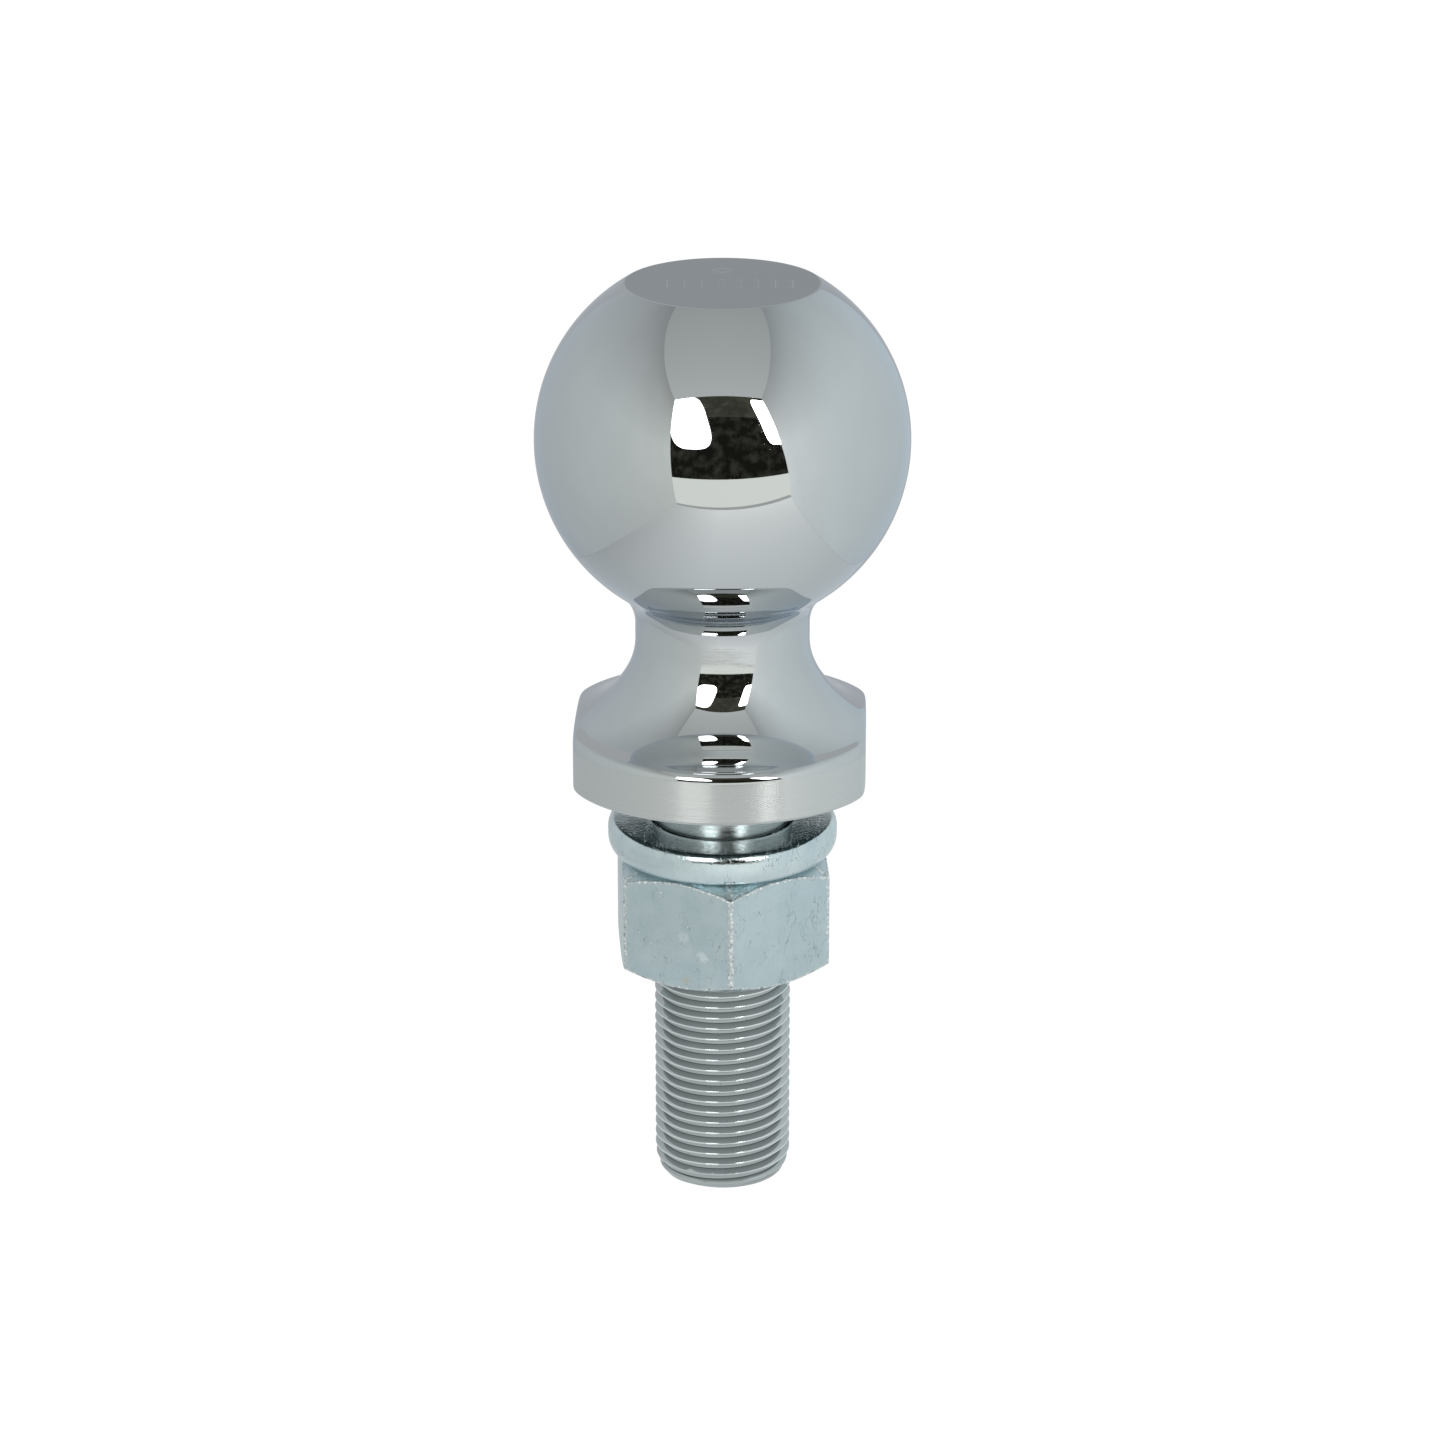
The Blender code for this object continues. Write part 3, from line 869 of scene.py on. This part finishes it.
def apply_all(obj):
    """Replaces an object's mesh with the one that its modifiers make."""
    graph = bpy.context.evaluated_depsgraph_get()
    mesh = bpy.data.meshes.new_from_object(obj.evaluated_get(graph))
    obj.modifiers.clear()
    obj.data = mesh


def combine(obj, other, operation):
    """One exact Boolean, applied at once. The other object is used up."""
    boolean = obj.modifiers.new(other.name, "BOOLEAN")
    boolean.operation = operation
    boolean.solver = "EXACT"
    boolean.object = other
    bpy.context.view_layer.update()
    apply_all(obj)
    bpy.data.objects.remove(other)


def build_nut(material):
    vertices = []
    for height in (NUT_BOTTOM - CUTTER_MARGIN, NUT_TOP + CUTTER_MARGIN):
        for i in range(6):
            angle = NUT_TURN + math.radians(60 * i - 90)
            vertices.append((NUT_CORNER * math.cos(angle), NUT_CORNER * math.sin(angle), height))
    faces = [tuple(reversed(range(6))), tuple(range(6, 12))]
    faces += [(i, (i + 1) % 6, 6 + (i + 1) % 6, 6 + i) for i in range(6)]
    nut = make_object("nut_body", vertices, faces, [material], smooth=False)

    outer = NUT_CORNER + CUTTER_MARGIN
    rise = (outer - NUT_FACE) * NUT_CHAMFER_SLOPE
    outline = [
        (0.0, NUT_TOP),
        (NUT_FACE, NUT_TOP),
        (outer, NUT_TOP - rise),
        (outer, NUT_BOTTOM + rise),
        (NUT_FACE, NUT_BOTTOM),
        (0.0, NUT_BOTTOM),
    ]
    combine(nut, revolve("nut_envelope", outline, 288), "INTERSECT")

    with editing(nut) as work:
        bmesh.ops.remove_doubles(work, verts=work.verts, dist=0.002 * MM)
        bmesh.ops.dissolve_limit(
            work, angle_limit=math.radians(0.3), verts=work.verts, edges=work.edges
        )
    bevel = nut.modifiers.new("worn_edges", "BEVEL")
    bevel.width = NUT_EDGE_ROUND * MM
    bevel.segments = 3
    bevel.limit_method = "ANGLE"
    bevel.angle_limit = math.radians(20)
    bevel.use_clamp_overlap = True
    bpy.context.view_layer.update()
    apply_all(nut)

    combine(nut, tap_rod(), "DIFFERENCE")
    nut.data.shade_smooth()
    nut.data.set_sharp_from_angle(angle=math.radians(22))
    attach(nut, "nut")
    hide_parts("hex_nut")


# ---------------------------------------------------------------- light tent, lights, camera


def panel(name, corners, material, faces=None, seen=False):
    """A panel of the studio, in millimetres. It lights and is mirrored, but isn't seen."""
    faces = faces or [tuple(range(len(corners)))]
    obj = make_object(name, corners, faces, [material], smooth=False)
    obj.visible_camera = seen
    obj.visible_shadow = False
    return obj


def bowed(front, middle, back, steps=14):
    """(x, y) points of a gentle curve through three points, in order of their y."""
    (x0, y0), (x1, y1), (x2, y2) = front, middle, back
    first = (x1 - x0) / (y1 - y0)
    second = ((x2 - x1) / (y2 - y1) - first) / (y2 - y0)
    points = []
    for i in range(steps + 1):
        y = y0 + (y2 - y0) * i / steps
        points.append((x0 + (y - y0) * (first + second * (y - y1)), y))
    return points


def level(points, height):
    """(x, y) points at one height."""
    return [(x, y, height) for x, y in points]


def wall(name, floor_line, top_line, material):
    """A wall of the tent between its edge on the floor and its edge on the roof."""
    count = len(floor_line)
    corners = level(floor_line, 0.0) + level(top_line, TENT_HEIGHT)
    faces = [(i, i + 1, count + i + 1, count + i) for i in range(count - 1)]
    panel(name, corners, material, faces)


def softbox(name, middle, half_width, half_height, lean, squareness, material):
    """A lamp in front of the tent: a rounded rectangle about (x, z) that leans sideways."""
    corners = []
    for i in range(48):
        angle = 2 * math.pi * i / 48
        c, s = math.cos(angle), math.sin(angle)
        across = half_width * math.copysign(abs(c) ** (2 / squareness), c)
        up = half_height * math.copysign(abs(s) ** (2 / squareness), s)
        corners.append((middle[0] + across + lean * up, SOFTBOX_Y, middle[1] + up))
    panel(name, corners, material)


def build_tent():
    left_cloth = tent_material(
        "tent_left", ((0.955, 1.0, 0.965), 0.82), ((0.93, 1.0, 1.04), 0.60), 0.90, 0.55
    )
    right_cloth = tent_material(
        "tent_right", ((0.955, 1.0, 1.0), 0.98), ((0.90, 1.0, 1.04), 0.70), 0.94, 0.52
    )
    roof = graded_emitter(
        "tent_roof", (TENT_ENTRY, 60), ((0.955, 1.0, 1.0), 0.65), ((0.955, 1.0, 1.005), 0.465)
    )
    ground = graded_emitter(
        "tent_ground", (-240, 20), ((0.97, 1.0, 0.99), 1.04), ((0.94, 1.0, 1.02), 0.70), left=0.74
    )
    lip = emitter("tent_lip", (0.97, 1.0, 0.99), 0.52)

    left_floor = bowed((-120, -238), (-117, -50), (-72, 150))
    left_top = bowed((-150, TENT_ENTRY), (-118, -60), (-60, 80))
    right_floor = bowed((205, -238), (124, -68), (72, 150))
    right_top = bowed((120, TENT_ENTRY), (94, -62), (45, 80))
    wall("tent_left", left_floor, left_top, left_cloth)
    wall("tent_right", right_floor, right_top, right_cloth)
    rear_floor = [left_floor[-1], right_floor[-1]]
    rear_top = [left_top[-1], right_top[-1]]
    wall("tent_rear", rear_floor, rear_top, rear_material())
    panel("tent_roof", level(left_top + right_top[::-1], TENT_HEIGHT), roof)
    panel("tent_ground", level(left_floor + right_floor[::-1], -0.2), ground)
    panel("tent_lip", level([(-150, -250), (215, -262), (215, -238), (-150, -238)], -0.3), lip)


def build_room():
    """What the tent's opening shows: the table, two softboxes and a dark room."""
    near_edge = [(-220, -250), (300, -250)]
    # This edge bows along x, so it is made with x and y exchanged.
    far_edge = [(x, y) for y, x in bowed((-740, -500), (-875, 150), (-760, 760))]
    table = emitter("table", (0.97, 1.0, 0.955), 1.02)
    panel("table_front", level(near_edge + far_edge[::-1], -0.5), table)

    left_white = emitter("softbox_left", (1.0, 1.0, 1.0), 4.7)
    right_white = emitter("softbox_right", (1.0, 1.0, 1.0), 8.5)
    softbox("softbox_left", (-400, 612), 235, 335, -0.33, 3.4, left_white)
    softbox("softbox_right", (545, 606), 142, 285, -0.30, 6.0, right_white)

    dark = emitter("room_dark", (1.0, 1.02, 0.80), 0.012, mottle=3.0)
    dim = emitter("room_dim", (1.0, 1.0, 0.78), 0.052, mottle=0.8)
    half, (bottom, middle, top) = ROOM_HALF_WIDTH, ROOM_HEIGHTS
    for name, low, high, paint in (
        ("room_low", bottom, middle, dark),
        ("room_high", middle, top, dim),
    ):
        corners = [(-half, low), (half, low), (half, high), (-half, high)]
        panel(name, [(x, ROOM_Y, z) for x, z in corners], paint)


def build_surroundings():
    """The pale floor that the camera sees, and the sky behind everything."""
    floor = panel(
        "floor",
        level([(-4000, -4000), (4000, -4000), (4000, 6000), (-4000, 6000)], -0.02),
        emitter("floor_white", (1.0, 1.0, 1.0), 1.02),
        seen=True,
    )
    floor.visible_glossy = False
    floor.visible_diffuse = False
    floor.visible_transmission = False

    world = bpy.data.worlds.new("studio")
    world.use_nodes = True
    background = world.node_tree.nodes["Background"]
    background.inputs["Color"].default_value = (0.90, 0.985, 1.07, 1.0)
    background.inputs["Strength"].default_value = 0.35
    bpy.context.scene.world = world


def build_camera():
    data = bpy.data.cameras.new("camera")
    data.lens = CAMERA_LENS
    data.sensor_width = 36.0
    data.clip_start = 0.01
    data.clip_end = 20.0
    camera = bpy.data.objects.new("camera", data)
    camera.location = (0.0, -CAMERA_BACK * MM, (BALL_CENTRE + CAMERA_ABOVE_BALL) * MM)
    camera.rotation_euler = (math.radians(90 - CAMERA_PITCH), 0.0, 0.0)
    bpy.context.scene.collection.objects.link(camera)
    bpy.context.scene.camera = camera
    bpy.context.scene.view_settings.view_transform = "Standard"


def main():
    build_camera()
    build_tent()
    build_room()
    build_surroundings()
    build_ball(chrome_material(), satin_material(), seat_material())
    build_thread(thread_material())
    build_washer(
        zinc(
            "zinc_washer",
            pale=(0.72, 0.80, 0.81),
            deep=(0.60, 0.70, 0.725),
            gloss=0.05,
            dull=0.12,
            grain=0.00009,
            scratches=0.5,
        )
    )
    # Two pale specks, a stain and a dark nick.
    marks = (
        ((0.93, 0.95, 0.95), (-2.7, -14.5, 37.8), 0.75, 0.45),
        ((0.90, 0.93, 0.94), (-5.3, -13.2, 40.3), 0.80, 0.30),
        ((0.58, 0.56, 0.44), (-5.0, -13.3, 33.9), 0.6, 0.6),
        ((0.10, 0.12, 0.12), (1.1, -16.2, 46.4), 0.10, 0.8),
    )
    build_nut(
        zinc(
            "zinc_nut",
            pale=(0.59, 0.68, 0.70),
            deep=(0.52, 0.62, 0.645),
            gloss=0.24,
            dull=0.33,
            grain=0.00004,
            scratches=0.7,
            spots=marks,
            wear=nut_wear,
        )
    )


main()
